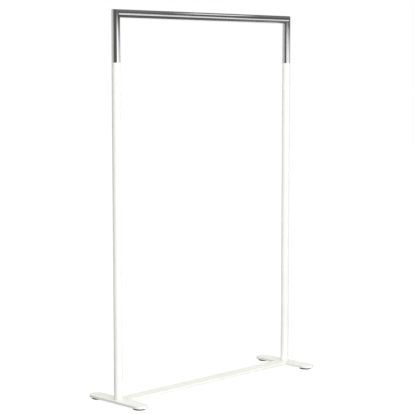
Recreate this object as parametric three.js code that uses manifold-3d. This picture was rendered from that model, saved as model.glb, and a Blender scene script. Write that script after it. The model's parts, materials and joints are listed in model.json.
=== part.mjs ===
// Free-standing open partition frame: a chromed inverted U on two white posts, each on a
// flat rounded foot, with a flat bar between the feet and four hand-turned levelling glides.
// Millimetres, +Z up, X across the frame, -Y towards its front. The origin is on the floor,
// midway between the posts. "left" is -X, "front" is -Y.

import * as THREE from 'three';
import { mergeVertices } from 'three/addons/utils/BufferGeometryUtils.js';
import Module from 'manifold-3d';

const wasm = await Module();
wasm.setup();

// ---- driving dimensions -------------------------------------------------------------
const HEIGHT = 1800;
const POST_SPACING = 1160;
const TUBE_RADIUS = 20;
const TUBE_WALL = 3;
const JOINT_HEIGHT = 1562; // top of the white posts, where the chromed legs begin

const FOOT_LENGTH = 368;
const FOOT_WIDTH = 72;
const FLAT_THICKNESS = 12;
const FLAT_EDGE_ROUND = 1.6;
const FLAT_BOTTOM = 8; // height of the undersides of the feet and the bar

const GLIDE_INSET = 42; // from the end of a foot to a glide's centre
const GLIDE_HOLE_TOP = 18; // blind tapped hole in the underside of a foot
const GLIDE_EDGE = 0.8;
const BASE = { radius: 29, top: 3, buttonRadius: 7.5, buttonTop: 3.9 };
const WHEEL = { radius: 30, bottom: 3.3, top: 7.4 };
const STUD = { radius: 4, top: 17.2, headRadius: 9, headBottom: 4.2, headTop: 6, lead: 0.6 };

const FIT_GAP = 0.3; // clearance of a piece that sits in or against another
const MITRE_GAP = 0.3; // weld gap across each mitre

const SPIGOT_LENGTH = 120;
const SPIGOT_BORE_RADIUS = 12;
const SPIGOT_FLAT = 15; // distance of the spigot's rear flat from its axis
const SPIGOT_LEAD = 1.5;
const GRUB_OFFSET = 30; // from the joint up or down to a grub screw
const GRUB = { radius: 3, length: 5, chamfer: 0.6, socketRadius: 1.7, socketDepth: 2.5 };

const PLUG_HEIGHT = 25;
const TONGUE_LENGTH = 22;
const TONGUE_WIDTH = 60;
const TONGUE_THICKNESS = 6;
const BAR_SCREW_SPREAD = 20; // from the bar's centre line to each screw

const HEAD_RIM = 0.4; // straight edge of a countersunk head
const BAR_SCREW = { radius: 3, headRadius: 5.6, length: 9.4, socketRadius: 2.3, socketDepth: 2 };
const POST_BOLT = { radius: 5, headRadius: 9.6, length: 30, socketRadius: 3.4, socketDepth: 4 };

const OVERCUT = 1; // how far a cutting tool runs past the face it opens
const ROUND_STEPS = 48; // sides of tubes and glides
const FINE_STEPS = 24; // sides of screws, studs, plugs and their holes

// ---- derived places -----------------------------------------------------------------
const POST_X = POST_SPACING / 2;
const RAIL_Z = HEIGHT - TUBE_RADIUS;
const BORE_RADIUS = TUBE_RADIUS - TUBE_WALL;
const FLAT_TOP = FLAT_BOTTOM + FLAT_THICKNESS;
const GLIDE_Y = FOOT_LENGTH / 2 - GLIDE_INSET;
const FOOT_INNER_X = POST_X - FOOT_WIDTH / 2;
const TONGUE_END_X = FOOT_INNER_X + TONGUE_LENGTH;
const TONGUE_TOP = FLAT_BOTTOM + TONGUE_THICKNESS;
const BAR_SCREW_X = FOOT_INNER_X + TONGUE_LENGTH / 2;

// ---- finishes -----------------------------------------------------------------------
function finish(color, roughness, metalness) {
  return new THREE.MeshStandardMaterial({ color, roughness, metalness });
}

const finishes = {
  chrome: () => finish(0xc9ccd0, 0.08, 1.0),
  whitePowder: () => finish(0xf1f1ec, 0.42, 0.0),
  steel: () => finish(0x9a9da0, 0.35, 1.0),
  blackPlastic: () => finish(0x202123, 0.5, 0.0),
  rubber: () => finish(0x141414, 0.85, 0.0),
};

// ---- solids -------------------------------------------------------------------------
function toSolid(geometry) {
  const bare = geometry.index ? geometry.toNonIndexed() : geometry.clone();
  bare.deleteAttribute('normal');
  bare.deleteAttribute('uv');
  const merged = mergeVertices(bare, 1e-4);
  const vertProperties = Float32Array.from(merged.attributes.position.array);
  const triVerts = Uint32Array.from(merged.index.array);
  const mesh = new wasm.Mesh({ numProp: 3, vertProperties, triVerts });
  return new wasm.Manifold(mesh);
}

function toGeometry(solid) {
  const mesh = solid.getMesh();
  const geometry = new THREE.BufferGeometry();
  geometry.setAttribute('position', new THREE.BufferAttribute(mesh.vertProperties, 3));
  geometry.setIndex(new THREE.BufferAttribute(mesh.triVerts, 1));
  return geometry;
}

function cut(geometry, tools) {
  let solid = toSolid(geometry);
  for (const tool of tools) {
    solid = solid.subtract(toSolid(tool));
  }
  return toGeometry(solid);
}

function joined(geometries) {
  let solid = toSolid(geometries[0]);
  for (const geometry of geometries.slice(1)) {
    solid = solid.add(toSolid(geometry));
  }
  return toGeometry(solid);
}

// A solid turned about the Z axis from [radius, height] points that run upwards.
function turned(profile, steps) {
  const points = profile.map(([radius, height]) => new THREE.Vector2(radius, height));
  const geometry = new THREE.LatheGeometry(points, steps);
  geometry.rotateX(Math.PI / 2);
  return geometry;
}

function rod(radius, bottom, top, steps = FINE_STEPS) {
  return turned([[0, bottom], [radius, bottom], [radius, top], [0, top]], steps);
}

function hexagon(radius, bottom, top) {
  return rod(radius, bottom, top, 6);
}

function box(width, depth, bottom, top) {
  const geometry = new THREE.BoxGeometry(width, depth, top - bottom);
  geometry.translate(0, 0, (bottom + top) / 2);
  return geometry;
}

function tube(outer, inner, bottom, top, steps) {
  const profile = [[inner, bottom], [outer, bottom], [outer, top], [inner, top], [inner, bottom]];
  return turned(profile, steps);
}

// A tube whose end faces lean: each slope is the rise of that end along +X.
function mitredTube(bottom, top, bottomSlope, topSlope) {
  const geometry = tube(TUBE_RADIUS, BORE_RADIUS, bottom, top, ROUND_STEPS);
  const position = geometry.attributes.position;
  const middle = (bottom + top) / 2;
  for (let i = 0; i < position.count; i += 1) {
    const slope = position.getZ(i) > middle ? topSlope : bottomSlope;
    position.setZ(i, position.getZ(i) + slope * position.getX(i));
  }
  return geometry;
}

// Straight hole across the tube's rear wall, for a grub screw.
function grubHole(height) {
  const radius = GRUB.radius + FIT_GAP;
  const hole = new THREE.CylinderGeometry(radius, radius, 3 * TUBE_WALL, FINE_STEPS);
  hole.translate(0, TUBE_RADIUS - TUBE_WALL / 2, height);
  return hole;
}

// Countersunk screw pointing up, its head's flat face at height zero, with a hex socket.
function countersunkScrew({ radius, headRadius, length, socketRadius, socketDepth }) {
  const headTop = HEAD_RIM + headRadius - radius;
  const body = turned(
    [
      [0, 0], [headRadius, 0], [headRadius, HEAD_RIM], [radius, headTop],
      [radius, length], [0, length],
    ],
    FINE_STEPS,
  );
  return cut(body, [hexagon(socketRadius, -OVERCUT, socketDepth)]);
}

// Clearance left for such a screw in the piece that its head sinks into.
function countersink({ radius, headRadius }, bottom, top) {
  const wide = headRadius + FIT_GAP + HEAD_RIM;
  const narrow = radius + FIT_GAP;
  const coneBottom = bottom + FIT_GAP;
  return turned(
    [
      [0, bottom - OVERCUT], [wide, bottom - OVERCUT], [wide, coneBottom],
      [narrow, coneBottom + wide - narrow], [narrow, top], [0, top],
    ],
    FINE_STEPS,
  );
}

// Stadium outline, its long axis along Y.
function stadium(length, width) {
  const radius = width / 2;
  const reach = length / 2 - radius;
  const shape = new THREE.Shape();
  shape.moveTo(radius, -reach);
  shape.lineTo(radius, reach);
  shape.absarc(0, reach, radius, 0, Math.PI, false);
  shape.lineTo(-radius, -reach);
  shape.absarc(0, -reach, radius, Math.PI, 2 * Math.PI, false);
  return shape;
}

// ---- pieces, each about its own post, glide or screw axis ---------------------------
function footPlate(inward) {
  const edge = FLAT_EDGE_ROUND;
  const plate = new THREE.ExtrudeGeometry(stadium(FOOT_LENGTH, FOOT_WIDTH), {
    depth: FLAT_THICKNESS - 2 * edge,
    bevelThickness: edge,
    bevelSize: edge,
    bevelOffset: -edge,
    bevelSegments: 2,
    curveSegments: 18,
  });
  plate.translate(0, 0, FLAT_BOTTOM + edge);

  const tools = [countersink(POST_BOLT, FLAT_BOTTOM, FLAT_TOP + OVERCUT)];
  for (const side of [-1, 1]) {
    const glideHole = rod(STUD.radius + FIT_GAP, FLAT_BOTTOM - OVERCUT, GLIDE_HOLE_TOP);
    glideHole.translate(0, side * GLIDE_Y, 0);
    tools.push(glideHole);

    const screwTop = FLAT_BOTTOM + FIT_GAP + BAR_SCREW.length + FIT_GAP;
    const screwHole = rod(BAR_SCREW.radius + FIT_GAP, FLAT_BOTTOM - OVERCUT, screwTop);
    screwHole.translate(inward * (POST_X - BAR_SCREW_X), side * BAR_SCREW_SPREAD, 0);
    tools.push(screwHole);
  }

  const rebateLength = TONGUE_LENGTH + FIT_GAP;
  const rebateWidth = TONGUE_WIDTH + 2 * FIT_GAP;
  const rebate = box(2 * rebateLength, rebateWidth, FLAT_BOTTOM - OVERCUT, TONGUE_TOP);
  rebate.translate(inward * FOOT_WIDTH / 2, 0, 0);
  tools.push(rebate);
  return cut(plate, tools);
}

// Flat bar on edge-rounded stock, halved at each end to a tongue that goes under a foot.
function crossBar() {
  const halfWidth = FOOT_WIDTH / 2;
  const round = FLAT_EDGE_ROUND;
  const section = new THREE.Shape();
  section.moveTo(-halfWidth + round, 0);
  section.lineTo(halfWidth - round, 0);
  section.absarc(halfWidth - round, round, round, -Math.PI / 2, 0, false);
  section.absarc(halfWidth - round, FLAT_THICKNESS - round, round, 0, Math.PI / 2, false);
  section.absarc(-halfWidth + round, FLAT_THICKNESS - round, round, Math.PI / 2, Math.PI, false);
  section.absarc(-halfWidth + round, round, round, Math.PI, 1.5 * Math.PI, false);
  const bar = new THREE.ExtrudeGeometry(section, {
    depth: 2 * TONGUE_END_X,
    bevelEnabled: false,
    curveSegments: 3,
  });
  bar.translate(0, FLAT_BOTTOM, -TONGUE_END_X);
  bar.rotateX(Math.PI / 2);
  bar.rotateZ(Math.PI / 2);

  const tools = [];
  const shoulder = FOOT_INNER_X - FIT_GAP;
  for (const end of [-1, 1]) {
    const tongueFace = TONGUE_TOP - FIT_GAP;
    const over = box(2 * TONGUE_LENGTH, 2 * FOOT_WIDTH, tongueFace, FLAT_TOP + OVERCUT);
    over.translate(end * (shoulder + TONGUE_LENGTH), 0, 0);
    tools.push(over);
    for (const side of [-1, 1]) {
      const offset = (TONGUE_WIDTH + FOOT_WIDTH) / 2;
      const beside = box(2 * TONGUE_LENGTH, FOOT_WIDTH, FLAT_BOTTOM - OVERCUT, FLAT_TOP + OVERCUT);
      beside.translate(end * (shoulder + TONGUE_LENGTH), side * offset, 0);
      tools.push(beside);
      const screwHole = countersink(BAR_SCREW, FLAT_BOTTOM, TONGUE_TOP + OVERCUT);
      screwHole.translate(end * BAR_SCREW_X, side * BAR_SCREW_SPREAD, 0);
      tools.push(screwHole);
    }
  }
  return cut(bar, tools);
}

function post() {
  const wall = tube(TUBE_RADIUS, BORE_RADIUS, FLAT_TOP, JOINT_HEIGHT, ROUND_STEPS);
  return cut(wall, [grubHole(JOINT_HEIGHT - GRUB_OFFSET)]);
}

// Chromed leg, mitred at 45 degrees on top; outward is the X direction away from the frame.
function topLeg(outward) {
  const setBack = MITRE_GAP * Math.SQRT1_2;
  const leg = mitredTube(JOINT_HEIGHT, RAIL_Z - setBack, 0, outward);
  return cut(leg, [grubHole(JOINT_HEIGHT + GRUB_OFFSET)]);
}

function topRail() {
  const reach = POST_X - MITRE_GAP * Math.SQRT1_2;
  const rail = mitredTube(-reach, reach, 1, -1);
  rail.rotateY(Math.PI / 2);
  return rail;
}

// Sleeve across the joint, with a flat down its back for both grub screws to press on.
function spigot() {
  const outer = BORE_RADIUS - FIT_GAP;
  const bottom = JOINT_HEIGHT - SPIGOT_LENGTH / 2;
  const top = JOINT_HEIGHT + SPIGOT_LENGTH / 2;
  const nose = outer - SPIGOT_LEAD;
  const sleeve = turned(
    [
      [SPIGOT_BORE_RADIUS, bottom], [nose, bottom], [outer, bottom + SPIGOT_LEAD],
      [outer, top - SPIGOT_LEAD], [nose, top], [SPIGOT_BORE_RADIUS, top],
      [SPIGOT_BORE_RADIUS, bottom],
    ],
    ROUND_STEPS,
  );
  const slab = box(2 * TUBE_RADIUS, TUBE_RADIUS, bottom - OVERCUT, top + OVERCUT);
  slab.translate(0, SPIGOT_FLAT + TUBE_RADIUS / 2, 0);
  return cut(sleeve, [slab]);
}

// Grub screw lying along Y, its tip just off the spigot's flat and its socket facing out.
function grubScrew() {
  const { radius, length, chamfer, socketRadius, socketDepth } = GRUB;
  const body = turned(
    [
      [0, 0], [radius - chamfer, 0], [radius, chamfer], [radius, length - chamfer],
      [radius - chamfer, length], [0, length],
    ],
    FINE_STEPS,
  );
  const screw = cut(body, [hexagon(socketRadius, length - socketDepth, length + OVERCUT)]);
  screw.rotateX(-Math.PI / 2);
  screw.translate(0, SPIGOT_FLAT + FIT_GAP, 0);
  return screw;
}

// Round plug welded in the foot of a post, tapped for the bolt from below.
function postPlug() {
  const outer = BORE_RADIUS - FIT_GAP;
  const bore = POST_BOLT.radius + FIT_GAP;
  return tube(outer, bore, FLAT_TOP, FLAT_TOP + PLUG_HEIGHT, FINE_STEPS);
}

// Base disc that stays still on the floor, with a button that the wheel turns on.
function glideBase() {
  const { radius, top, buttonRadius, buttonTop } = BASE;
  return turned(
    [
      [0, 0], [radius - GLIDE_EDGE, 0], [radius, GLIDE_EDGE], [radius, top],
      [buttonRadius, top], [buttonRadius, buttonTop], [0, buttonTop],
    ],
    ROUND_STEPS,
  );
}

// Hand wheel moulded round the hexagon head of the stud, open below for the base's button.
function glideWheel() {
  const { radius, bottom, top } = WHEEL;
  const disc = turned(
    [
      [0, bottom], [radius, bottom], [radius, top - GLIDE_EDGE], [radius - GLIDE_EDGE, top],
      [0, top],
    ],
    ROUND_STEPS,
  );
  const headPocket = hexagon(STUD.headRadius + FIT_GAP, bottom - OVERCUT, STUD.headTop + FIT_GAP);
  const studHole = rod(STUD.radius + FIT_GAP, bottom - OVERCUT, top + OVERCUT);
  return cut(disc, [headPocket, studHole]);
}

// Threaded stud with a thin hexagon head.
function glideStud() {
  const { radius, top, headRadius, headBottom, headTop, lead } = STUD;
  const shank = rod(radius, headTop - OVERCUT, top - lead);
  const nose = turned(
    [[0, top - lead], [radius, top - lead], [radius - lead, top], [0, top]],
    FINE_STEPS,
  );
  return joined([hexagon(headRadius, headBottom, headTop), shank, nose]);
}

// ---- assembly -----------------------------------------------------------------------
const frame = new THREE.Group();

function add(name, geometry, material, x = 0, y = 0, z = 0) {
  const mesh = new THREE.Mesh(geometry, material());
  mesh.name = name;
  mesh.position.set(x, y, z);
  frame.add(mesh);
}

add('top_rail', topRail(), finishes.chrome, 0, 0, RAIL_Z);
add('cross_bar', crossBar(), finishes.whitePowder);

for (const [side, sign] of [['left', -1], ['right', 1]]) {
  const x = sign * POST_X;
  add(`top_leg_${side}`, topLeg(sign), finishes.chrome, x);
  add(`spigot_${side}`, spigot(), finishes.steel, x);
  add(`leg_grub_screw_${side}`, grubScrew(), finishes.steel, x, 0, JOINT_HEIGHT + GRUB_OFFSET);
  add(`post_grub_screw_${side}`, grubScrew(), finishes.steel, x, 0, JOINT_HEIGHT - GRUB_OFFSET);
  add(`post_${side}`, post(), finishes.whitePowder, x);
  add(`post_plug_${side}`, postPlug(), finishes.steel, x);
  add(`foot_plate_${side}`, footPlate(-sign), finishes.whitePowder, x);
  add(`post_bolt_${side}`, countersunkScrew(POST_BOLT), finishes.steel, x, 0, FLAT_BOTTOM + FIT_GAP);

  for (const [end, toward] of [['front', -1], ['rear', 1]]) {
    const screwY = toward * BAR_SCREW_SPREAD;
    const screw = countersunkScrew(BAR_SCREW);
    add(`bar_screw_${end}_${side}`, screw, finishes.steel,
      sign * BAR_SCREW_X, screwY, FLAT_BOTTOM + FIT_GAP);

    const glideY = toward * GLIDE_Y;
    add(`glide_base_${end}_${side}`, glideBase(), finishes.rubber, x, glideY);
    add(`glide_wheel_${end}_${side}`, glideWheel(), finishes.blackPlastic, x, glideY);
    add(`glide_stud_${end}_${side}`, glideStud(), finishes.steel, x, glideY);
  }
}

export default frame;
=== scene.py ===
# Looks of the free-standing partition frame: chromed inverted U on white posts, flat feet,
# a flat bar between them and four screw glides. Metres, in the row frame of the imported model.

import json
import math

import bmesh
import bpy
from mathutils import Matrix, Vector


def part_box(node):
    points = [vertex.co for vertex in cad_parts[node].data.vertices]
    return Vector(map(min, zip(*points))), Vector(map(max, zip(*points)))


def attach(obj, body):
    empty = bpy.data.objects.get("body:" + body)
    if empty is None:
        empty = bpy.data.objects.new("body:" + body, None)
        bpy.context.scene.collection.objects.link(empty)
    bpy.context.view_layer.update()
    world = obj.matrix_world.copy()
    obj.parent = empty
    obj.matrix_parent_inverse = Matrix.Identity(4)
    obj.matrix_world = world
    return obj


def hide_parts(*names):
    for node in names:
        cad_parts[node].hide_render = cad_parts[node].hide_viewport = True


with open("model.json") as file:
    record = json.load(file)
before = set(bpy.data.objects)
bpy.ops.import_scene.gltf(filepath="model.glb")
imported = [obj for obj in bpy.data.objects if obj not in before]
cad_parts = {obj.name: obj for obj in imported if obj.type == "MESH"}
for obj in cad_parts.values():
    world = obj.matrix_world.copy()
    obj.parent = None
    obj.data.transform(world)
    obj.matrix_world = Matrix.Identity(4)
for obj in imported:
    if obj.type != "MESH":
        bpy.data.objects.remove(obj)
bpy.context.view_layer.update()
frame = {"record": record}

record = frame["record"]
BODY_OF = {node: body for body, nodes in record["behaviour"]["bodies"].items() for node in nodes}

MM = 0.001
QUARTER_TURN = math.pi / 2
SIXTH_TURN = math.pi / 3
SIGN = {"left": -1, "right": 1}  # of a side's place along X
ENDS = ("front", "rear")
CORNERS = [f"{end}_{side}" for side in SIGN for end in ENDS]

# ---- sizes that the boxes of the nodes don't tell --------------------------------------
TUBE_STEPS = 144  # sides of a tube
DISC_STEPS = 240  # sides of a glide
SCREW_STEPS = 48  # sides of a screw
ARC_STEPS = 6  # segments in the quarter round of an edge
TUBE_WALL = 3 * MM
TUBE_CHAMFER = 0.45 * MM  # broken edge at the butt joint of a post and a leg
MITRE_CHAMFER = 0.3 * MM
EDGE_ROUND = 1.6 * MM  # rounded edges of the feet and the bar
FIT_GAP = 0.3 * MM
HOLE_CHAMFER = 0.5 * MM  # broken edge at the mouth of a hole

# =======================================================================================
# Mesh building
# =======================================================================================


def as_value(value, angle):
    """A ring's radius or height is a number, or a function of the angle."""
    return value(angle) if callable(value) else value


def ring(radius, height, steps):
    """Points around Z, or the one point on the axis where the radius is zero."""
    if radius == 0:
        return [Vector((0, 0, height))]
    points = []
    for step in range(steps):
        angle = math.tau * step / steps
        reach = as_value(radius, angle)
        points.append(Vector((reach * math.cos(angle), reach * math.sin(angle), as_value(height, angle))))
    return points


def skin(name, rings, closed=False):
    """A solid through rings of points. Rings of one point end it in a fan, and open ends are capped.
    With closed the last ring joins the first, as in a tube with a bore."""
    bm = bmesh.new()
    rows = [[bm.verts.new(point) for point in points] for points in rings]
    followers = rows[1:] + rows[:1] if closed else rows[1:]
    for low, high in zip(rows, followers):
        count = max(len(low), len(high))
        for i in range(count):
            j = (i + 1) % count
            corners = (low[i % len(low)], low[j % len(low)], high[j % len(high)], high[i % len(high)])
            bm.faces.new(dict.fromkeys(corners))
    if not closed:
        for row in (rows[0], rows[-1]):
            if len(row) > 1:
                bm.faces.new(row)
    bmesh.ops.recalc_face_normals(bm, faces=bm.faces)
    return to_object(name, bm)


def to_object(name, bm):
    """Object of that name from a finished bmesh."""
    mesh = bpy.data.meshes.new(name)
    bm.to_mesh(mesh)
    bm.free()
    obj = bpy.data.objects.new(name, mesh)
    bpy.context.scene.collection.objects.link(obj)
    return obj


def turned(name, profile, steps, closed=False):
    """A solid of revolution about Z from (radius, height) pairs."""
    return skin(name, [ring(radius, height, steps) for radius, height in profile], closed)


def arc(radius, height, size, start, end):
    """Quarter round as (radius, height) pairs about a centre, from one angle to another in degrees."""
    points = []
    for step in range(ARC_STEPS + 1):
        angle = math.radians(start + (end - start) * step / ARC_STEPS)
        points.append((radius + size * math.cos(angle), height + size * math.sin(angle)))
    return points


def carve(obj, cutters):
    """Cuts the cutters out of obj and deletes them."""
    for cutter in cutters:
        modifier = obj.modifiers.new("cut", "BOOLEAN")
        modifier.operation = "DIFFERENCE"
        modifier.solver = "EXACT"
        modifier.object = cutter
    graph = bpy.context.evaluated_depsgraph_get()
    cut_mesh = bpy.data.meshes.new_from_object(obj.evaluated_get(graph))
    obj.modifiers.clear()
    blank = obj.data
    obj.data = cut_mesh
    bpy.data.meshes.remove(blank)
    for cutter in cutters:
        mesh = cutter.data
        bpy.data.objects.remove(cutter)
        bpy.data.meshes.remove(mesh)
    return obj


def moved(obj, x=0.0, y=0.0, z=0.0):
    """Shifts the mesh inside the object, which stays at the origin."""
    obj.data.transform(Matrix.Translation((x, y, z)))
    return obj


SHARP_ANGLE = math.radians(34)
MERGE_DISTANCE = 0.001 * MM


def polish(obj):
    """Merges doubled points, smooths the round faces and keeps the edges between them crisp."""
    bm = bmesh.new()
    bm.from_mesh(obj.data)
    bmesh.ops.remove_doubles(bm, verts=bm.verts, dist=MERGE_DISTANCE)
    for face in bm.faces:
        face.smooth = True
    for edge in bm.edges:
        edge.smooth = len(edge.link_faces) == 2 and edge.calc_face_angle() < SHARP_ANGLE
    bm.to_mesh(obj.data)
    bm.free()
    weighted = obj.modifiers.new("even_shading", "WEIGHTED_NORMAL")
    weighted.keep_sharp = True
    weighted.weight = 100
    return obj


def stand_in(obj, node, material):
    """obj is the fine surface of that CAD node: same place, same body, same finish."""
    polish(obj)
    obj.data.materials.clear()
    obj.data.materials.append(material)
    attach(obj, BODY_OF[node])
    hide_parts(node)
    return obj


class Upright:
    """The place of a round CAD node that stands along Z."""

    def __init__(self, node):
        low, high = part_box(node)
        self.x = (low.x + high.x) / 2
        self.y = (low.y + high.y) / 2
        self.bottom = low.z
        self.top = high.z
        self.radius = (high.x - low.x) / 2


# =======================================================================================
# Materials
# =======================================================================================


# places of the colour sockets of a Mix node, whose names other sockets share
MIX_FIRST = 6
MIX_SECOND = 7
MIX_RESULT = 2


class Shader:
    """One procedural material, its textures in the coordinates of the piece."""

    def __init__(self, name):
        self.material = bpy.data.materials.new(name)
        self.material.use_nodes = True
        self.tree = self.material.node_tree
        self.surface = self.tree.nodes["Principled BSDF"]
        self.place = self.tree.nodes.new("ShaderNodeTexCoord").outputs["Object"]

    def link(self, source, target):
        self.tree.links.new(source, target)

    def feed(self, socket, value):
        """Sets a number or a colour on a socket, or links an earlier output to it."""
        if isinstance(value, (int, float, tuple)):
            socket.default_value = value
        else:
            self.link(value, socket)

    def stretched(self, scale):
        mapping = self.tree.nodes.new("ShaderNodeMapping")
        mapping.inputs["Scale"].default_value = scale
        self.link(self.place, mapping.inputs["Vector"])
        return mapping.outputs["Vector"]

    def noise(self, scale, detail=2.0, place=None):
        node = self.tree.nodes.new("ShaderNodeTexNoise")
        node.inputs["Scale"].default_value = scale
        node.inputs["Detail"].default_value = detail
        self.link(place or self.place, node.inputs["Vector"])
        return node.outputs["Fac"]

    def specks(self, scale):
        node = self.tree.nodes.new("ShaderNodeTexVoronoi")
        node.inputs["Scale"].default_value = scale
        self.link(self.place, node.inputs["Vector"])
        return node.outputs["Distance"]

    def spread(self, source, low, high, to_low=0.0, to_high=1.0):
        """Smooth step from one value to another as the source goes from low to high."""
        node = self.tree.nodes.new("ShaderNodeMapRange")
        node.interpolation_type = "SMOOTHSTEP"
        for socket, value in zip(("From Min", "From Max", "To Min", "To Max"), (low, high, to_low, to_high)):
            node.inputs[socket].default_value = value
        self.link(source, node.inputs["Value"])
        return node.outputs["Result"]

    def times(self, first, second):
        node = self.tree.nodes.new("ShaderNodeMath")
        node.operation = "MULTIPLY"
        self.feed(node.inputs[0], first)
        self.feed(node.inputs[1], second)
        return node.outputs["Value"]

    def mixed(self, share, first, second):
        """Colour that goes from first to second; each is a colour or an earlier output."""
        node = self.tree.nodes.new("ShaderNodeMix")
        node.data_type = "RGBA"
        self.link(share, node.inputs["Factor"])
        for place, value in ((MIX_FIRST, first), (MIX_SECOND, second)):
            self.feed(node.inputs[place], (*value, 1.0) if isinstance(value, tuple) else value)
        return node.outputs[MIX_RESULT]

    def height(self):
        parts = self.tree.nodes.new("ShaderNodeSeparateXYZ")
        self.link(self.place, parts.inputs["Vector"])
        return parts.outputs["Z"]

    def bump(self, source, depth):
        node = self.tree.nodes.new("ShaderNodeBump")
        node.inputs["Strength"].default_value = 1.0
        node.inputs["Distance"].default_value = depth
        self.link(source, node.inputs["Height"])
        return node.outputs["Normal"]

    def set(self, **values):
        """Feeds the shader's own sockets, named with _ for each space."""
        for name, value in values.items():
            self.feed(self.surface.inputs[name.replace("_", " ")], value)


def powder_coat():
    """White semi-gloss powder coat: orange peel, faint tone drift, scuffs low down."""
    shader = Shader("white_powder_coat")
    drift = shader.spread(shader.noise(5, 3), 0.35, 0.7)
    tone = shader.mixed(drift, (0.885, 0.89, 0.86), (0.91, 0.915, 0.885))
    grain = shader.spread(shader.noise(1400, 1), 0.62, 0.8, 0.0, 0.35)
    tone = shader.mixed(grain, tone, (0.83, 0.83, 0.81))
    low_down = shader.spread(shader.height(), 0.02, 0.22, 1.0, 0.0)
    scuffs = shader.spread(shader.noise(26, 7, shader.stretched((0.7, 0.6, 1.0))), 0.6, 0.74, 0.0, 0.2)
    tone = shader.mixed(shader.times(low_down, scuffs), tone, (0.55, 0.55, 0.53))
    gloss = shader.spread(shader.noise(60, 3), 0.3, 0.7, 0.34, 0.46)
    peel = shader.bump(shader.noise(420, 2), 0.06 * MM)
    shader.set(Base_Color=tone, Roughness=gloss, Normal=peel, Specular_IOR_Level=0.5)
    return shader.material


def chrome():
    """Bright chrome plate on a ground tube: near mirror, with smears and hairline polishing marks."""
    shader = Shader("bright_chrome")
    drift = shader.spread(shader.noise(7, 2), 0.3, 0.7)
    tone = shader.mixed(drift, (0.76, 0.77, 0.79), (0.82, 0.825, 0.835))
    smears = shader.spread(shader.noise(24, 5), 0.45, 0.75, 0.04, 0.15)
    dust = shader.spread(shader.noise(1100, 2), 0.68, 0.8, 0.0, 0.3)
    tone = shader.mixed(dust, tone, (0.6, 0.6, 0.59))
    marks = shader.noise(900, 2, shader.stretched((0.08, 1.0, 0.08)))
    shader.set(Base_Color=tone, Metallic=1.0, Roughness=smears, Normal=shader.bump(marks, 0.004 * MM))
    return shader.material


def zinc_steel():
    """Zinc-plated steel: soft grey metal with a warm and a cool cast and turning marks."""
    shader = Shader("zinc_steel")
    cast = shader.spread(shader.noise(140, 3), 0.35, 0.65)
    tone = shader.mixed(cast, (0.56, 0.57, 0.59), (0.62, 0.61, 0.57))
    spots = shader.spread(shader.noise(600, 3), 0.6, 0.75, 0.0, 0.5)
    tone = shader.mixed(spots, tone, (0.42, 0.42, 0.41))
    gloss = shader.spread(shader.noise(250, 3), 0.3, 0.7, 0.26, 0.42)
    marks = shader.noise(1500, 2, shader.stretched((0.15, 0.15, 1.0)))
    shader.set(Base_Color=tone, Metallic=1.0, Roughness=gloss, Normal=shader.bump(marks, 0.01 * MM))
    return shader.material


def moulded_plastic():
    """Black moulded plastic: spark-eroded grain, rubbed paler in places."""
    shader = Shader("black_moulded_plastic")
    rubbed = shader.spread(shader.noise(90, 4), 0.5, 0.75)
    tone = shader.mixed(rubbed, (0.045, 0.045, 0.047), (0.085, 0.085, 0.085))
    gloss = shader.spread(shader.noise(220, 2), 0.3, 0.7, 0.42, 0.58)
    shader.set(Base_Color=tone, Roughness=gloss, Normal=shader.bump(shader.noise(2600, 2), 0.03 * MM))
    return shader.material


def moulded_rubber():
    """Matt rubber with dust in its pores."""
    shader = Shader("matt_rubber")
    dust = shader.spread(shader.noise(260, 5), 0.5, 0.72)
    tone = shader.mixed(dust, (0.03, 0.03, 0.031), (0.1, 0.098, 0.094))
    gloss = shader.spread(shader.noise(180, 2), 0.3, 0.7, 0.72, 0.9)
    shader.set(Base_Color=tone, Roughness=gloss, Normal=shader.bump(shader.specks(1800), 0.05 * MM))
    return shader.material


CHROME = chrome()
WHITE = powder_coat()
STEEL = zinc_steel()
PLASTIC = moulded_plastic()
RUBBER = moulded_rubber()

# =======================================================================================
# Chromed top
# =======================================================================================

left_post = Upright("post_left")
TUBE_RADIUS = left_post.radius
BORE_RADIUS = TUBE_RADIUS - TUBE_WALL
JOINT_HEIGHT = left_post.top
rail_low, rail_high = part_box("top_rail")
RAIL_HEIGHT = (rail_low.z + rail_high.z) / 2
grub_low, grub_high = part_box("post_grub_screw_left")
GRUB_RADIUS = (grub_high.x - grub_low.x) / 2
GRUB_RING = 8 * MM  # plain rings this far from a grub screw keep the cut's faces short
GRUB_MOUTH_SINK = 0.2 * MM  # the mouth of its hole lies this far inside the tube's crown
MITRE_HALF_GAP = 0.12 * MM
WELD_SINK = 0.2 * MM  # of a mitre's seam, under the surface of the tubes
WELD_INSET = 0.5 * MM  # of a mitre's seam, from the bore


def grub_height(node):
    """Height of the middle of a grub screw."""
    low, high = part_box(node)
    return (low.z + high.z) / 2


def grub_hole(x, height):
    """Cutter for a grub screw's hole through the rear wall, with a broken edge."""
    radius = GRUB_RADIUS + FIT_GAP
    depth = 2 * TUBE_WALL
    cutter = turned(
        "cutter",
        [
            (0, -depth), (radius, -depth), (radius, -HOLE_CHAMFER),
            (radius + 3 * HOLE_CHAMFER, 2 * HOLE_CHAMFER), (0, 2 * HOLE_CHAMFER),
        ],
        SCREW_STEPS,
    )
    cutter.data.transform(Matrix.Rotation(-QUARTER_TURN, 4, "X"))
    return moved(cutter, x, TUBE_RADIUS - GRUB_MOUTH_SINK, height)


def lean(radius, base, slope):
    """Height of a ring whose plane rises along +X by that slope."""
    return lambda angle: base + slope * radius * math.cos(angle)


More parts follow.
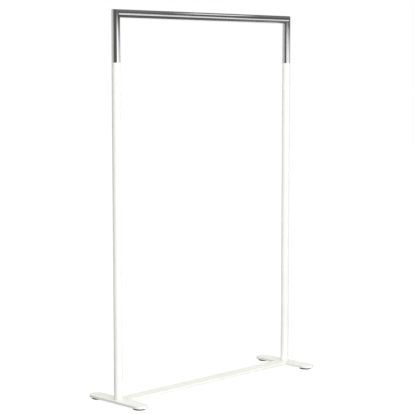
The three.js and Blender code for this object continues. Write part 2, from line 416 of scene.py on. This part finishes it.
def plain_tube(name, bottom, top, rings_at):
    """Upright tube with both outer edges broken."""
    outer = TUBE_RADIUS
    inner = BORE_RADIUS
    chamfer = TUBE_CHAMFER
    profile = [(inner, bottom), (outer - chamfer, bottom), (outer, bottom + chamfer)]
    profile += [(outer, height) for height in rings_at]
    profile += [(outer, top - chamfer), (outer - chamfer, top), (inner, top)]
    profile += [(inner, height) for height in reversed(rings_at)]
    return turned(name, profile, TUBE_STEPS, closed=True)


def mitred_rings(bottom, top, bottom_slope, top_slope, rings_at, bottom_chamfer):
    """Rings of a tube along Z whose ends lean along X."""
    outer = TUBE_RADIUS
    inner = BORE_RADIUS
    rings = []

    def add(radius, base, slope):
        rings.append(ring(radius, lean(radius, base, slope), TUBE_STEPS))

    add(inner, bottom, bottom_slope)
    add(outer - bottom_chamfer, bottom, bottom_slope)
    add(outer, bottom + bottom_chamfer, bottom_slope)
    for height in rings_at:
        add(outer, height, 0)
    add(outer, top - MITRE_CHAMFER, top_slope)
    add(outer - MITRE_CHAMFER, top, top_slope)
    add(inner, top, top_slope)
    for height in reversed(rings_at):
        add(inner, height, 0)
    return rings


def chromed_leg(side):
    """Leg with a mitred top; its outer wall is the taller one."""
    node = f"top_leg_{side}"
    place = Upright(node)
    hole = grub_height(f"leg_grub_screw_{side}")
    rings_at = [hole - GRUB_RING, hole + GRUB_RING]
    rings = mitred_rings(JOINT_HEIGHT, RAIL_HEIGHT - MITRE_HALF_GAP, 0, SIGN[side], rings_at, TUBE_CHAMFER)
    leg = moved(skin(f"{node}_tube", rings, closed=True), place.x, place.y)
    carve(leg, [grub_hole(place.x, hole)])
    stand_in(leg, node, CHROME)


def chromed_rail():
    """Level tube with a mitre at each end."""
    reach = (rail_high.x - rail_low.x) / 2 - TUBE_RADIUS + FIT_GAP / 2 - MITRE_HALF_GAP
    rings = mitred_rings(-reach, reach, 1, -1, [], MITRE_CHAMFER)
    rail = skin("top_rail_tube", rings, closed=True)
    rail.data.transform(Matrix.Rotation(QUARTER_TURN, 4, "Y"))
    stand_in(moved(rail, z=RAIL_HEIGHT), "top_rail", CHROME)


def mitre_weld(side):
    """Thin polished seam that closes a mitre, just under the surface of the tubes."""
    place = Upright(f"top_leg_{side}")
    outer = TUBE_RADIUS - WELD_SINK
    inner = BORE_RADIUS + WELD_INSET
    half = MITRE_HALF_GAP
    section = [(inner, -half), (outer, -half), (outer, half), (inner, half)]
    rings = [ring(radius, lean(radius, base, SIGN[side]), TUBE_STEPS) for radius, base in section]
    seam = moved(skin(f"mitre_weld_{side}", rings, closed=True), place.x, place.y, RAIL_HEIGHT)
    polish(seam)
    seam.data.materials.append(CHROME)
    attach(seam, BODY_OF["top_rail"])


SPIGOT_BORE = 12 * MM
SPIGOT_LEAD = 1.5 * MM


def spigot(side):
    """Turned steel sleeve with a flat down its back and leads at both ends."""
    node = f"spigot_{side}"
    low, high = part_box(node)
    place = Upright(node)
    flat = high.y

    def flatted(radius):
        def reach(angle):
            facing = math.sin(angle)
            return min(radius, flat / facing) if facing > 0 else radius
        return reach

    nose = place.radius - SPIGOT_LEAD
    profile = [
        (SPIGOT_BORE, place.bottom + SPIGOT_LEAD / 2), (SPIGOT_BORE + SPIGOT_LEAD / 2, place.bottom),
        (flatted(nose), place.bottom), (flatted(place.radius), place.bottom + SPIGOT_LEAD),
        (flatted(place.radius), place.top - SPIGOT_LEAD), (flatted(nose), place.top),
        (SPIGOT_BORE + SPIGOT_LEAD / 2, place.top), (SPIGOT_BORE, place.top - SPIGOT_LEAD / 2),
    ]
    sleeve = moved(turned(f"{node}_sleeve", profile, TUBE_STEPS, closed=True), place.x)
    stand_in(sleeve, node, STEEL)


# =======================================================================================
# Screws
# =======================================================================================

THREAD_RINGS = 8  # rings in one pitch
THREAD_DEPTH = 0.613  # depth over pitch of a metric thread
THREAD_STEEPNESS = 1.3  # of its flanks, over 1 to leave the crest flat
THREAD_ROOT_FLAT = 0.15  # how far the flanks start under the root, to leave the root flat
THREAD_GAP = 0.05 * MM  # between a chamfer and the thread after it
SOCKET_LEAD = 0.25 * MM
SOCKET_DRILL = 0.5  # radius of the drilled bottom of a socket over the corner's
SOCKET_CONE = 0.25  # depth over corner down to the drilled bottom
SOCKET_POINT = 0.3  # depth over corner down to the drill's point
HEAD_EDGE = 0.15 * MM  # broken edge of a countersunk head
SHANK = 0.3 * MM  # plain shank over the cone of a countersunk head
THREAD_START = 0.4 * MM  # of its thread, over the cone
NOSE = 0.25  # length of a screw's nose over its thread's radius
NOSE_CONE = 0.6  # part of the nose that is conical
NOSE_TAPER = 0.4  # how much the cone narrows, over the nose's length


def hexagon(corner):
    """Radius of a hexagon with a corner on the Y axis."""
    apothem = corner * math.cos(SIXTH_TURN / 2)

    def reach(angle):
        off_flat = (angle - QUARTER_TURN) % SIXTH_TURN - SIXTH_TURN / 2
        return apothem / math.cos(off_flat)

    return reach


def thread(crest, pitch, bottom, top):
    """Rings of a right-hand thread between two heights, run out at both ends."""
    depth = THREAD_DEPTH * pitch
    count = max(2, round((top - bottom) / pitch * THREAD_RINGS))
    rings = []
    for step in range(count + 1):
        height = bottom + (top - bottom) * step / count
        fade = min(1.0, (height - bottom) / pitch, (top - height) / pitch)

        def reach(angle, height=height, fade=fade):
            turn = (height / pitch - angle / math.tau) % 1.0
            slope = THREAD_STEEPNESS * (1 - abs(2 * turn - 1))
            ridge = min(1.0, max(0.0, slope - THREAD_ROOT_FLAT))
            return crest - depth + depth * ridge * fade

        rings.append((reach, height))
    return rings


def hexagon_socket(corner, depth, height, facing):
    """Rings from a face down a hexagon socket to its drilled bottom; it faces +1 or -1 along Z."""
    return [
        (hexagon(corner + SOCKET_LEAD), height),
        (hexagon(corner), height - facing * SOCKET_LEAD),
        (hexagon(corner), height - facing * depth),
        (corner * SOCKET_DRILL, height - facing * (depth + corner * SOCKET_CONE)),
        (0, height - facing * (depth + corner * SOCKET_POINT)),
    ]


def countersunk_screw(node, pitch, thread_radius, head_rim, socket_corner, socket_depth):
    """Hexagon-socket countersunk screw pointing up, its head's face at the bottom of the node's box."""
    place = Upright(node)
    length = place.top - place.bottom
    head = place.radius
    cone_top = head_rim + head - thread_radius
    profile = hexagon_socket(socket_corner, socket_depth, 0, -1)[::-1]
    profile += [(head - HEAD_EDGE, 0), (head, HEAD_EDGE), (head, head_rim)]
    profile += [(thread_radius, cone_top), (thread_radius, cone_top + SHANK)]
    nose = thread_radius * NOSE
    profile += thread(thread_radius, pitch, cone_top + THREAD_START, length - nose)
    root = thread_radius - THREAD_DEPTH * pitch
    profile += [(root, length - nose * NOSE_CONE), (root - nose * NOSE_TAPER, length), (0, length)]
    screw = turned(f"{node}_threaded", profile, SCREW_STEPS)
    stand_in(moved(screw, place.x, place.y, place.bottom), node, STEEL)


def grub_screw(node, pitch, socket_corner, socket_depth):
    """Grub screw along Y: flat point inwards, hexagon socket facing out."""
    low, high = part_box(node)
    radius = (high.x - low.x) / 2
    length = high.y - low.y
    chamfer = 0.6 * MM
    root = radius - THREAD_DEPTH * pitch
    profile = [(0, 0), (root - chamfer, 0), (root, chamfer / 2)]
    profile += thread(radius, pitch, chamfer / 2 + THREAD_GAP, length - chamfer / 2)
    profile += [(root, length - chamfer / 4), (root - chamfer / 4, length)]
    profile += hexagon_socket(socket_corner, socket_depth, length, 1)
    screw = turned(f"{node}_threaded", profile, SCREW_STEPS)
    screw.data.transform(Matrix.Rotation(-QUARTER_TURN, 4, "X"))
    stand_in(moved(screw, (low.x + high.x) / 2, low.y, (low.z + high.z) / 2), node, STEEL)


# =======================================================================================
# White base
# =======================================================================================

foot_low, foot_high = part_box("foot_plate_left")
FOOT_LENGTH = foot_high.y - foot_low.y
FOOT_WIDTH = foot_high.x - foot_low.x
FLAT_BOTTOM = foot_low.z
FLAT_TOP = foot_high.z
CURVE_STEPS = 64  # segments in the round end of a foot
CUTTER_RUN = 1 * MM  # how far a cutter runs past the face it opens
STUD_RADIUS = 4 * MM
GLIDE_HOLE_TOP = 18 * MM
DRILL_POINT = 0.15  # rise over radius of the end of a blind hole
BAR_SCREW = dict(pitch=1.0 * MM, thread_radius=3 * MM, head_rim=0.4 * MM,
                 socket_corner=2.3 * MM, socket_depth=2 * MM)
POST_BOLT = dict(pitch=1.5 * MM, thread_radius=5 * MM, head_rim=0.4 * MM,
                 socket_corner=3.4 * MM, socket_depth=4 * MM)
GRUB = dict(pitch=1.0 * MM, socket_corner=1.7 * MM, socket_depth=2.5 * MM)
TONGUE_WIDTH = 60 * MM
TONGUE_THICKNESS = 6 * MM


def stadium(inset, height):
    """Outline of a foot, drawn in by inset, at that height."""
    radius = FOOT_WIDTH / 2 - inset
    reach = (FOOT_LENGTH - FOOT_WIDTH) / 2
    points = []
    for toward, start in ((1, 0), (-1, math.pi)):
        for step in range(CURVE_STEPS + 1):
            angle = start + math.pi * step / CURVE_STEPS
            across = radius * math.cos(angle)
            along = toward * reach + radius * math.sin(angle)
            points.append(Vector((across, along, height)))
    return points


def edge_rounds(bottom, top):
    """(inset, height) pairs up the side of flat stock, round both of its rounded edges."""
    size = EDGE_ROUND
    lower = [(size - across, height) for across, height in arc(0, bottom + size, size, -90, 0)]
    upper = [(size - across, height) for across, height in arc(0, top - size, size, 0, 90)]
    return lower + upper


def bore(radius, top, x, y):
    """Cutter for a blind round hole from below, with a broken edge at its mouth."""
    mouth = FLAT_BOTTOM
    cutter = turned(
        "cutter",
        [
            (0, mouth - CUTTER_RUN), (radius + HOLE_CHAMFER + CUTTER_RUN, mouth - CUTTER_RUN),
            (radius, mouth + HOLE_CHAMFER), (radius, top), (0, top + DRILL_POINT * radius),
        ],
        SCREW_STEPS,
    )
    return moved(cutter, x, y)


def countersink(screw, node, top):
    """Cutter for a countersunk hole from below, clear of the screw all round."""
    place = Upright(node)
    wide = place.radius + FIT_GAP + screw["head_rim"]
    narrow = screw["thread_radius"] + FIT_GAP
    cone_bottom = FLAT_BOTTOM + FIT_GAP
    cutter = turned(
        "cutter",
        [
            (0, FLAT_BOTTOM - CUTTER_RUN), (wide, FLAT_BOTTOM - CUTTER_RUN), (wide, cone_bottom),
            (narrow, cone_bottom + wide - narrow), (narrow, top), (0, top),
        ],
        SCREW_STEPS,
    )
    return moved(cutter, place.x, place.y)


def block(low, high):
    """Cutter box between two corners."""
    corners = [(low[0], low[1]), (high[0], low[1]), (high[0], high[1]), (low[0], high[1])]
    return skin("cutter", [[Vector((x, y, z)) for x, y in corners] for z in (low[2], high[2])])


def foot_plate(side):
    """Flat foot with holes for its bolt, its glides and the bar's screws, and a recess for the tongue."""
    node = f"foot_plate_{side}"
    place = Upright(node)
    rings = [stadium(inset, height) for inset, height in edge_rounds(FLAT_BOTTOM, FLAT_TOP)]
    plate = moved(skin(f"{node}_flat", rings), place.x)
    cutters = [countersink(POST_BOLT, f"post_bolt_{side}", FLAT_TOP + CUTTER_RUN)]
    for end in ENDS:
        glide = Upright(f"glide_stud_{end}_{side}")
        cutters.append(bore(STUD_RADIUS + FIT_GAP, GLIDE_HOLE_TOP, glide.x, glide.y))
        screw = Upright(f"bar_screw_{end}_{side}")
        cutters.append(bore(BAR_SCREW["thread_radius"] + FIT_GAP, screw.top + FIT_GAP, screw.x, screw.y))
    bar_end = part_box("cross_bar")[1].x + FIT_GAP
    inner_edge = abs(place.x) - FOOT_WIDTH / 2
    near, far = sorted((SIGN[side] * (inner_edge - CUTTER_RUN), SIGN[side] * bar_end))
    half_width = TONGUE_WIDTH / 2 + FIT_GAP
    cutters.append(block((near, -half_width, FLAT_BOTTOM - CUTTER_RUN),
                         (far, half_width, FLAT_BOTTOM + TONGUE_THICKNESS)))
    stand_in(carve(plate, cutters), node, WHITE)


def cross_bar():
    """Flat bar halved at both ends to a tongue that goes under a foot."""
    low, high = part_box("cross_bar")
    half = (high.y - low.y) / 2
    section = [(half - inset, height) for inset, height in edge_rounds(low.z, high.z)]
    section += [(-across, height) for across, height in reversed(section)]
    rings = [[Vector((x, across, height)) for across, height in section] for x in (low.x, high.x)]
    bar = skin("cross_bar_flat", rings)
    shoulder = abs(left_post.x) - FOOT_WIDTH / 2 - FIT_GAP
    tongue_top = FLAT_BOTTOM + TONGUE_THICKNESS - FIT_GAP
    past = high.x + CUTTER_RUN
    wide = half + CUTTER_RUN
    cutters = []
    for side, sign in SIGN.items():
        near, far = sorted((sign * shoulder, sign * past))
        cutters.append(block((near, -wide, tongue_top), (far, wide, high.z + CUTTER_RUN)))
        for toward in (-1, 1):
            inner, outer = sorted((toward * TONGUE_WIDTH / 2, toward * wide))
            cutters.append(block((near, inner, low.z - CUTTER_RUN), (far, outer, high.z + CUTTER_RUN / 2)))
        for end in ENDS:
            cutters.append(countersink(BAR_SCREW, f"bar_screw_{end}_{side}", tongue_top + CUTTER_RUN / 2))
    stand_in(carve(bar, cutters), "cross_bar", WHITE)


def white_post(side):
    """Plain tube with the hole of its grub screw in the rear."""
    node = f"post_{side}"
    place = Upright(node)
    hole = grub_height(f"post_grub_screw_{side}")
    rings_at = [hole - GRUB_RING, hole + GRUB_RING]
    tube = moved(plain_tube(f"{node}_tube", place.bottom, place.top, rings_at), place.x, place.y)
    stand_in(carve(tube, [grub_hole(place.x, hole)]), node, WHITE)


def post_plug(side):
    """Round plug in the foot of a post, tapped for the bolt."""
    node = f"post_plug_{side}"
    place = Upright(node)
    bore_radius = POST_BOLT["thread_radius"] + FIT_GAP
    lead = 0.6 * MM
    profile = [
        (bore_radius + lead, place.bottom), (place.radius - lead, place.bottom),
        (place.radius, place.bottom + lead), (place.radius, place.top - lead),
        (place.radius - lead, place.top), (bore_radius + lead, place.top),
        (bore_radius, place.top - lead), (bore_radius, place.bottom + lead),
    ]
    plug = turned(f"{node}_ring", profile, SCREW_STEPS * 2, closed=True)
    stand_in(moved(plug, place.x, place.y), node, STEEL)


# =======================================================================================
# Glides
# =======================================================================================

GRIP_COUNT = 40  # flutes round the wheel
GRIP_DEPTH = 0.7 * MM
WHEEL_EDGE = 0.8 * MM
BUTTON_RADIUS = 7.5 * MM
BUTTON_EDGE = 0.3 * MM
BASE_RIM_TOP = 3 * MM
TREAD_RADII = (9 * MM, 14 * MM, 19 * MM, 24 * MM)  # of the grooves in the face on the floor
TREAD_WIDTH = 1.6 * MM
TREAD_DEPTH = 0.5 * MM
HEAD_CORNER = 9 * MM
HEAD_BOTTOM = 4.2 * MM
HEAD_TOP = 6 * MM
STUD_PITCH = 1.25 * MM


def glide_base(corner):
    """Rubber disc that stays still on the floor, with ring grooves in its tread."""
    node = f"glide_base_{corner}"
    place = Upright(node)
    profile = [(0, 0)]
    slope = TREAD_DEPTH / 2
    for inner in TREAD_RADII:
        outer = inner + TREAD_WIDTH
        profile += [(inner, 0), (inner + slope, TREAD_DEPTH), (outer - slope, TREAD_DEPTH), (outer, 0)]
    edge = WHEEL_EDGE
    profile += arc(place.radius - edge, edge, edge, -90, 0)
    profile += arc(place.radius - edge / 2, BASE_RIM_TOP - edge / 2, edge / 2, 0, 90)
    profile += [(BUTTON_RADIUS + BUTTON_EDGE, BASE_RIM_TOP), (BUTTON_RADIUS, BASE_RIM_TOP + BUTTON_EDGE)]
    profile += [(BUTTON_RADIUS, place.top - BUTTON_EDGE), (BUTTON_RADIUS - BUTTON_EDGE, place.top)]
    profile += [(0, place.top)]
    disc = turned(f"{node}_disc", profile, DISC_STEPS)
    stand_in(moved(disc, place.x, place.y), node, RUBBER)


def glide_wheel(corner):
    """Hand wheel with a fluted rim, moulded round the hexagon head of the stud."""
    node = f"glide_wheel_{corner}"
    place = Upright(node)
    edge = WHEEL_EDGE

    def fluted(radius):
        def reach(angle):
            flute = (0.5 + 0.5 * math.cos(GRIP_COUNT * angle)) ** 2
            return radius - GRIP_DEPTH * flute
        return reach

    pocket = hexagon(HEAD_CORNER + FIT_GAP)
    hole = STUD_RADIUS + FIT_GAP
    profile = [(pocket, place.bottom)]
    for radius, height in arc(place.radius - edge / 2, place.bottom + edge / 2, edge / 2, -90, 0):
        profile.append((fluted(radius), height))
    for radius, height in arc(place.radius - edge, place.top - edge, edge, 0, 90):
        profile.append((fluted(radius), height))
    shelf = place.radius - 3 * edge
    profile += [(shelf, place.top), (shelf - edge / 2, place.top - edge / 2)]
    hub = HEAD_CORNER + 2 * edge
    profile += [(hub, place.top - edge / 2), (hub - edge / 2, place.top)]
    profile += [(hole, place.top), (hole, HEAD_TOP + FIT_GAP), (pocket, HEAD_TOP + FIT_GAP)]
    wheel = turned(f"{node}_rim", profile, DISC_STEPS, closed=True)
    stand_in(moved(wheel, place.x, place.y), node, PLASTIC)


def glide_stud(corner):
    """Threaded stud with a thin hexagon head."""
    node = f"glide_stud_{corner}"
    place = Upright(node)
    head = hexagon(HEAD_CORNER)
    chamfer = 0.35 * MM

    def eased(angle):
        return min(head(angle), HEAD_CORNER * math.cos(SIXTH_TURN / 2) + 2 * chamfer)

    root = STUD_RADIUS - THREAD_DEPTH * STUD_PITCH
    lead = 0.6 * MM
    thread_bottom = HEAD_TOP + 1.1 * lead
    profile = [(0, HEAD_BOTTOM), (eased, HEAD_BOTTOM), (head, HEAD_BOTTOM + chamfer)]
    profile += [(head, HEAD_TOP - chamfer), (eased, HEAD_TOP), (STUD_RADIUS, HEAD_TOP)]
    profile += [(STUD_RADIUS, HEAD_TOP + lead)]
    profile += thread(STUD_RADIUS, STUD_PITCH, thread_bottom, place.top - lead)
    profile += [(root, place.top - lead / 2), (root - lead / 2, place.top), (0, place.top)]
    stud = turned(f"{node}_threaded", profile, SCREW_STEPS)
    stand_in(moved(stud, place.x, place.y), node, STEEL)


# =======================================================================================
# The object
# =======================================================================================

chromed_rail()
cross_bar()
for side in SIGN:
    chromed_leg(side)
    mitre_weld(side)
    spigot(side)
    white_post(side)
    post_plug(side)
    foot_plate(side)
    grub_screw(f"leg_grub_screw_{side}", **GRUB)
    grub_screw(f"post_grub_screw_{side}", **GRUB)
    countersunk_screw(f"post_bolt_{side}", **POST_BOLT)
for corner in CORNERS:
    countersunk_screw(f"bar_screw_{corner}", **BAR_SCREW)
    glide_base(corner)
    glide_wheel(corner)
    glide_stud(corner)

# =======================================================================================
# Camera
# =======================================================================================

CAMERA_PLACE = Vector((-4.61066, -4.52647, 1.54205))
CAMERA_BEARING = math.radians(44.455)  # of the view, from +X towards +Y
CAMERA_TILT = math.radians(5.9588)  # downwards
FOCAL_LENGTH = 116.526  # millimetres, as is the sensor's width
SENSOR_WIDTH = 36.0
VIEW_LIMIT = 200.0

camera = bpy.data.objects.new("camera", bpy.data.cameras.new("camera"))
camera.data.lens = FOCAL_LENGTH
camera.data.sensor_width = SENSOR_WIDTH
camera.data.clip_end = VIEW_LIMIT
camera.location = CAMERA_PLACE
camera.rotation_euler = (QUARTER_TURN - CAMERA_TILT, 0, CAMERA_BEARING - QUARTER_TURN)
bpy.context.scene.collection.objects.link(camera)
bpy.context.scene.camera = camera

# =======================================================================================
# Studio: soft lights for the painted parts, and cards that the chrome mirrors
# =======================================================================================

toward_camera = Vector((-math.cos(CAMERA_BEARING), -math.sin(CAMERA_BEARING), 0))
to_the_right = Vector((math.sin(CAMERA_BEARING), -math.cos(CAMERA_BEARING), 0))

NEUTRAL = (1.0, 1.0, 1.0, 1.0)
WARM = (1.0, 0.965, 0.91, 1.0)
FLOOR_HALF = 60.0
FLOOR_LEVEL = -0.2 * MM  # just under the glides
FLOOR_TONE = 0.12
FLOOR_GLOW = 0.95  # near the object, and full white from FLOOR_FAR on
FLOOR_NEAR = 1.2
FLOOR_FAR = 4.0
LOW_CARD_LEVEL = 1 * MM  # just over the floor
SHELL_STEPS = 32  # sides of the rooms that are round everything


def outward(bearing):
    """Level direction from the frame, in degrees to the right of the camera."""
    angle = math.radians(bearing)
    return toward_camera * math.cos(angle) + to_the_right * math.sin(angle)


def soft_light(name, place, aim, width, height, radiance, colour=(1.0, 1.0, 1.0)):
    """Rectangular soft light that the camera and the chrome don't see."""
    light = bpy.data.lights.new(name, "AREA")
    light.color = colour
    light.shape = "RECTANGLE"
    light.size = width
    light.size_y = height
    light.energy = radiance * math.pi * width * height
    obj = bpy.data.objects.new(name, light)
    obj.location = place
    obj.rotation_euler = (Vector(place) - Vector(aim)).to_track_quat("Z", "Y").to_euler()
    obj.visible_camera = False
    obj.visible_glossy = False
    bpy.context.scene.collection.objects.link(obj)


def upright_light(name, bearing, distance, width, low, high, radiance):
    """Soft light that stands on one side of the object and faces it."""
    middle = Vector((0, 0, (low + high) / 2))
    soft_light(name, outward(bearing) * distance + middle, middle, width, high - low, radiance)


def studio_shader(name, base, strength, colour=NEUTRAL):
    """Emitting material of a part of the studio, with no gloss."""
    shader = Shader(name)
    shader.set(Base_Color=(base, base, base, 1.0), Roughness=1.0, Specular_IOR_Level=0.0)
    shader.set(Emission_Color=colour, Emission_Strength=strength)
    return shader


def seen_by(obj, camera=False, diffuse=False, glossy=False):
    """Makes obj a part of the studio that only the named rays see."""
    obj.visible_camera = camera
    obj.visible_diffuse = diffuse
    obj.visible_glossy = glossy
    obj.visible_shadow = False


def flat_sheet(name, corners):
    """One face through four corners."""
    bm = bmesh.new()
    bm.faces.new([bm.verts.new(corner) for corner in corners])
    return to_object(name, bm)


def card(name, bearing, distance, width, low, high, radiance, fade_top=0.0, fade_bottom=0.0,
         drop=0.0, colour=NEUTRAL):
    """Upright glowing card that only the gloss mirrors. Its glow can fade towards its top and bottom
    edges, and drop lowers the top at the end that is on the left as seen from the object."""
    middle = outward(bearing) * distance
    across = Vector((-middle.y, middle.x, 0)).normalized() * width / 2
    right = middle - across
    left = middle + across
    sheet = flat_sheet(name, [(right.x, right.y, low), (left.x, left.y, low),
                              (left.x, left.y, high - drop), (right.x, right.y, high)])
    shader = studio_shader(name, base=0.0, strength=radiance, colour=colour)
    glow = radiance
    if fade_top:
        glow = shader.spread(shader.height(), high - fade_top, high, radiance, 0.0)
    if fade_bottom:
        glow = shader.times(glow, shader.spread(shader.height(), low, low + fade_bottom))
    shader.set(Emission_Strength=glow)
    sheet.data.materials.append(shader.material)
    seen_by(sheet, glossy=True)


def level_card(name, low_corner, high_corner, height, radiance):
    """Level glowing card that only the gloss mirrors."""
    (x0, y0), (x1, y1) = low_corner, high_corner
    sheet = flat_sheet(name, [(x0, y0, height), (x1, y0, height), (x1, y1, height), (x0, y1, height)])
    sheet.data.materials.append(studio_shader(name, base=0.0, strength=radiance).material)
    seen_by(sheet, glossy=True)


def pale_floor():
    """White floor for the camera, with a trace of contact shadow near the feet."""
    half = FLOOR_HALF
    corners = [(-half, -half), (half, -half), (half, half), (-half, half)]
    sheet = flat_sheet("floor", [(x, y, FLOOR_LEVEL) for x, y in corners])
    shader = studio_shader("pale_floor", base=FLOOR_TONE, strength=FLOOR_GLOW)
    distance = shader.tree.nodes.new("ShaderNodeVectorMath")
    distance.operation = "LENGTH"
    shader.link(shader.place, distance.inputs[0])
    glow = shader.spread(distance.outputs["Value"], FLOOR_NEAR, FLOOR_FAR, FLOOR_GLOW, 1.0)
    shader.set(Emission_Strength=glow)
    sheet.data.materials.append(shader.material)
    seen_by(sheet, camera=True)


def shell(name, radius, radiance, colour, **rays):
    """Closed room round everything, seen only by the rays that are named."""
    walls = turned(name, [(0, -radius), (radius, -radius), (radius, radius), (0, radius)], SHELL_STEPS)
    shader = studio_shader(name, base=0.0, strength=radiance, colour=colour)
    walls.data.materials.append(shader.material)
    seen_by(walls, **rays)


def white_room():
    """World that only the camera sees."""
    room = bpy.data.worlds.new("white_room")
    room.use_nodes = True
    background = room.node_tree.nodes["Background"]
    background.inputs["Color"].default_value = NEUTRAL
    background.inputs["Strength"].default_value = 1.0
    room.cycles_visibility.diffuse = False
    room.cycles_visibility.glossy = False
    bpy.context.scene.world = room


# what the camera sees round the object
pale_floor()
white_room()

# what lights the painted parts: three soft lights, and an even glow from all round
upright_light("key", bearing=24, distance=4.2, width=2.6, low=-1.2, high=3.0, radiance=4.3)
upright_light("rear_fill", bearing=-165, distance=4.0, width=4.0, low=0.0, high=3.0, radiance=0.5)
soft_light("overhead", place=(0, 0, 4.5), aim=(0, 0, 0), width=4.0, height=4.0, radiance=2.15,
           colour=(1.0, 1.0, 0.87))
shell("bright_shell", radius=20.0, radiance=0.46, colour=NEUTRAL, diffuse=True)

# what the chrome mirrors: a dim room, and bright cards in it
shell("dark_shell", radius=19.0, radiance=0.12, colour=WARM, glossy=True)
card("key_card", bearing=27.5, distance=2.35, width=1.0, low=0.0, high=1.93, radiance=1.45, fade_top=0.2)
card("side_card", bearing=74, distance=3.2, width=4.8, low=0.3, high=1.97, radiance=1.0,
     fade_top=0.38, fade_bottom=0.6)
card("strip_card", bearing=80, distance=3.0, width=1.6, low=1.98, high=2.75, radiance=1.3, drop=0.72)
card("near_left_card", bearing=-66, distance=1.61, width=0.8, low=0.0, high=2.6, radiance=0.54, colour=WARM)
card("left_card", bearing=-105, distance=3.4, width=2.4, low=0.0, high=3.2, radiance=0.78, colour=WARM)
card("back_card", bearing=180, distance=3.6, width=7.0, low=0.0, high=2.4, radiance=0.7, fade_top=0.5)
level_card("rear_floor_card", (-4.0, 0.75), (6.0, 4.0), height=LOW_CARD_LEVEL, radiance=1.25)
level_card("right_floor_card", (2.4, -1.6), (6.0, 0.75), height=LOW_CARD_LEVEL, radiance=0.27)
level_card("ceiling_haze", (-1.0, -1.3), (8.0, 8.0), height=3.6, radiance=0.19)
level_card("ceiling_card", (1.6, -0.9), (2.2, -0.1), height=3.5, radiance=1.15)

bpy.context.scene.view_settings.view_transform = "Standard"

# =======================================================================================
# Last update of the scene, then the end
# =======================================================================================

bpy.context.view_layer.update()
